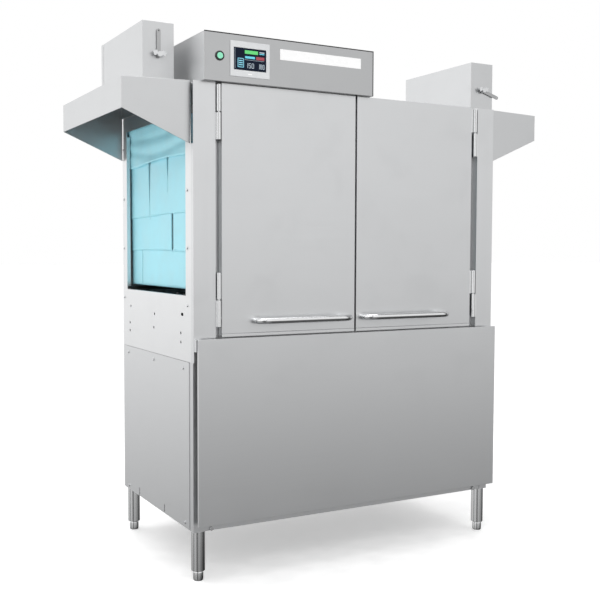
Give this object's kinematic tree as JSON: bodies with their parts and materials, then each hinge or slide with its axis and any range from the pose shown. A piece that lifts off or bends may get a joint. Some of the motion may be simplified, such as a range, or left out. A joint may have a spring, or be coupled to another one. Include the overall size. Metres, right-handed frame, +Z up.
{
  "type": "commercial dishwasher",
  "caption": "Rack-conveyor commercial dishwasher with two front doors, vented end hoods, curtained openings and a top control box.",
  "frame": {"origin": "floor level, centre of the machine's bounding box in plan", "axes": "+X from the load end to the unload end, -Y the door side, +Z up"},
  "size_m": [1.532, 0.692, 1.662],
  "materials": {
    "frame_steel": "mill finish",
    "polished_steel": "polished",
    "side_sheet": "brushed",
    "end_sheet": "brushed",
    "front_sheet": "brushed",
    "panel_sheet": "brushed",
    "door_sheet": "brushed",
    "hood_sheet": "brushed",
    "damper_steel": "brushed",
    "nut_steel": "plated",
    "box_sheet": "brushed",
    "bezel_plastic": "satin",
    "screen_glass": "gloss",
    "button_plastic": "lit",
    "ring_plastic": "gloss",
    "label_plastic": "gloss",
    "curtain_vinyl": "satin",
    "track_polymer": "matte",
    "pawl_steel": "machined",
    "motor_paint": "enamel",
    "pump_cast": "cast",
    "wet_steel": "satin",
    "element": "matte"
  },
  "bodies": {
    "chassis": {"base_frame": "frame_steel", "legs": "polished_steel", "side_panel_load": "side_sheet", "side_panel_unload": "side_sheet", "end_plate_load": "end_sheet", "end_plate_unload": "end_sheet", "front_frame": "front_sheet", "roof_panel": "end_sheet", "rear_panel": "end_sheet", "wash_tank": "wet_steel", "frame_hinges": "polished_steel", "hinge_pins": "polished_steel", "hood_load": "hood_sheet", "hood_unload": "hood_sheet", "stack_load": "hood_sheet", "stack_unload": "hood_sheet", "control_box": "box_sheet", "control_cover": "box_sheet", "screen_bezel": "bezel_plastic", "touch_screen": "screen_glass", "button_ring": "ring_plastic", "label_bar": "label_plastic", "control_gear": "frame_steel", "curtain_rods": "frame_steel", "rack_tracks": "track_polymer", "drive_gearmotor": "motor_paint", "wash_pump": "pump_cast", "pump_motor": "motor_paint", "wash_riser": "wet_steel", "wash_arms_lower": "wet_steel", "wash_arms_upper": "wet_steel", "rinse_line": "wet_steel", "tank_heater": "element", "fasteners": "nut_steel"},
    "foot_front_left": {"foot_front_left": "polished_steel"},
    "foot_front_right": {"foot_front_right": "polished_steel"},
    "foot_rear_left": {"foot_rear_left": "polished_steel"},
    "foot_rear_right": {"foot_rear_right": "polished_steel"},
    "front_panel": {"front_panel": "panel_sheet"},
    "door_left": {"door_left": "door_sheet", "handle_left": "polished_steel", "door_hinges_left": "polished_steel"},
    "door_right": {"door_right": "door_sheet", "handle_right": "polished_steel", "door_hinges_right": "polished_steel"},
    "power_button": {"power_button": "button_plastic"},
    "damper_load": {"damper_load": "damper_steel"},
    "damper_unload": {"damper_unload": "damper_steel"},
    "wing_nut_load": {"wing_nut_load": "nut_steel"},
    "wing_nut_unload": {"wing_nut_unload": "nut_steel"},
    "curtain_load": {"curtain_load": "curtain_vinyl"},
    "curtain_centre": {"curtain_centre": "curtain_vinyl"},
    "curtain_unload": {"curtain_unload": "curtain_vinyl"},
    "pawl_bar": {"pawl_bar": "pawl_steel"},
    "pawl_load": {"pawl_load": "pawl_steel"},
    "pawl_unload": {"pawl_unload": "pawl_steel"},
    "drive_crank": {"drive_crank": "pawl_steel"},
    "pump_impeller": {"pump_impeller": "wet_steel"},
    "scrap_screen": {"scrap_screen": "wet_steel"},
    "overflow_tube": {"overflow_tube": "wet_steel"}
  },
  "joints": [
    {"name": "foot_front_left_screw", "type": "hinge", "parent": "chassis", "child": "foot_front_left", "pos_m": [-0.534, -0.263, 0.045], "axis": [0, 0, 1], "range_deg": [-1800, 1800]},
    {"name": "foot_front_right_screw", "type": "hinge", "parent": "chassis", "child": "foot_front_right", "pos_m": [0.534, -0.263, 0.045], "axis": [0, 0, 1], "range_deg": [-1800, 1800]},
    {"name": "foot_rear_left_screw", "type": "hinge", "parent": "chassis", "child": "foot_rear_left", "pos_m": [-0.534, 0.321, 0.045], "axis": [0, 0, 1], "range_deg": [-1800, 1800]},
    {"name": "foot_rear_right_screw", "type": "hinge", "parent": "chassis", "child": "foot_rear_right", "pos_m": [0.534, 0.321, 0.045], "axis": [0, 0, 1], "range_deg": [-1800, 1800]},
    {"name": "front_panel_pull", "type": "slide", "parent": "chassis", "child": "front_panel", "axis": [0, -1, 0], "range_m": [0, 0.15]},
    {"name": "door_left_swing", "type": "hinge", "parent": "chassis", "child": "door_left", "pos_m": [-0.48, -0.298, 1.1], "axis": [0, 0, -1], "range_deg": [0, 110]},
    {"name": "door_right_swing", "type": "hinge", "parent": "chassis", "child": "door_right", "pos_m": [0.47475, -0.298, 1.1], "axis": [0, 0, 1], "range_deg": [0, 110]},
    {"name": "power_button_press", "type": "slide", "parent": "chassis", "child": "power_button", "axis": [0, 1, 0], "range_m": [0, 0.003], "stiffness_N_per_m": 400, "springref_m": -0.001},
    {"name": "damper_load_turn", "type": "hinge", "parent": "chassis", "child": "damper_load", "pos_m": [-0.615, -0.162, 1.565], "axis": [0, 1, 0], "range_deg": [0, 90]},
    {"name": "damper_unload_turn", "type": "hinge", "parent": "chassis", "child": "damper_unload", "pos_m": [0.615, -0.162, 1.565], "axis": [0, 1, 0], "range_deg": [-107, 0]},
    {"name": "wing_nut_load_turn", "type": "hinge", "parent": "damper_load", "child": "wing_nut_load", "pos_m": [-0.615, -0.175, 1.565], "axis": [0, 1, 0], "range_deg": [0, 720]},
    {"name": "wing_nut_unload_turn", "type": "hinge", "parent": "damper_unload", "child": "wing_nut_unload", "pos_m": [0.615, -0.175, 1.565], "axis": [0, 1, 0], "range_deg": [0, 720]},
    {"name": "curtain_load_swing", "type": "hinge", "parent": "chassis", "child": "curtain_load", "pos_m": [-0.537, 0.038, 1.4], "axis": [0, -1, 0], "range_deg": [0, 34]},
    {"name": "curtain_centre_swing", "type": "hinge", "parent": "chassis", "child": "curtain_centre", "pos_m": [0.141, 0.038, 1.4], "axis": [0, -1, 0], "range_deg": [-45, 45]},
    {"name": "curtain_unload_swing", "type": "hinge", "parent": "chassis", "child": "curtain_unload", "pos_m": [0.537, 0.038, 1.4], "axis": [0, -1, 0], "range_deg": [0, 45]},
    {"name": "pawl_bar_slide", "type": "slide", "parent": "chassis", "child": "pawl_bar", "axis": [1, 0, 0], "range_m": [-0.06, 0.06]},
    {"name": "drive_crank_turn", "type": "hinge", "parent": "chassis", "child": "drive_crank", "pos_m": [-0.429, 0.036, 0.82], "axis": [0, 0, 1], "range_deg": [-90.5, 90.5]},
    {"name": "pawl_load_tip", "type": "hinge", "parent": "pawl_bar", "child": "pawl_load", "pos_m": [-0.229, 0.036, 0.844], "axis": [0, 1, 0], "range_deg": [0, 25], "stiffness_Nm_per_rad": 0.2, "springref_deg": -11.46},
    {"name": "pawl_unload_tip", "type": "hinge", "parent": "pawl_bar", "child": "pawl_unload", "pos_m": [0.181, 0.036, 0.844], "axis": [0, 1, 0], "range_deg": [0, 25], "stiffness_Nm_per_rad": 0.2, "springref_deg": -11.46},
    {"name": "pump_impeller_spin", "type": "hinge", "parent": "chassis", "child": "pump_impeller", "pos_m": [-0.219, -0.114, 0.53], "axis": [1, 0, 0], "continuous": true},
    {"name": "scrap_screen_lift", "type": "slide", "parent": "chassis", "child": "scrap_screen", "axis": [0, 0, 1], "range_m": [0, 0.03]},
    {"name": "overflow_tube_lift", "type": "slide", "parent": "chassis", "child": "overflow_tube", "axis": [0, 0, 1], "range_m": [0, 0.05]}
  ],
  "couplings": [
    {"joint": "drive_crank_turn", "follows": "pawl_bar_slide", "rad_per_m": 26.18}
  ]
}
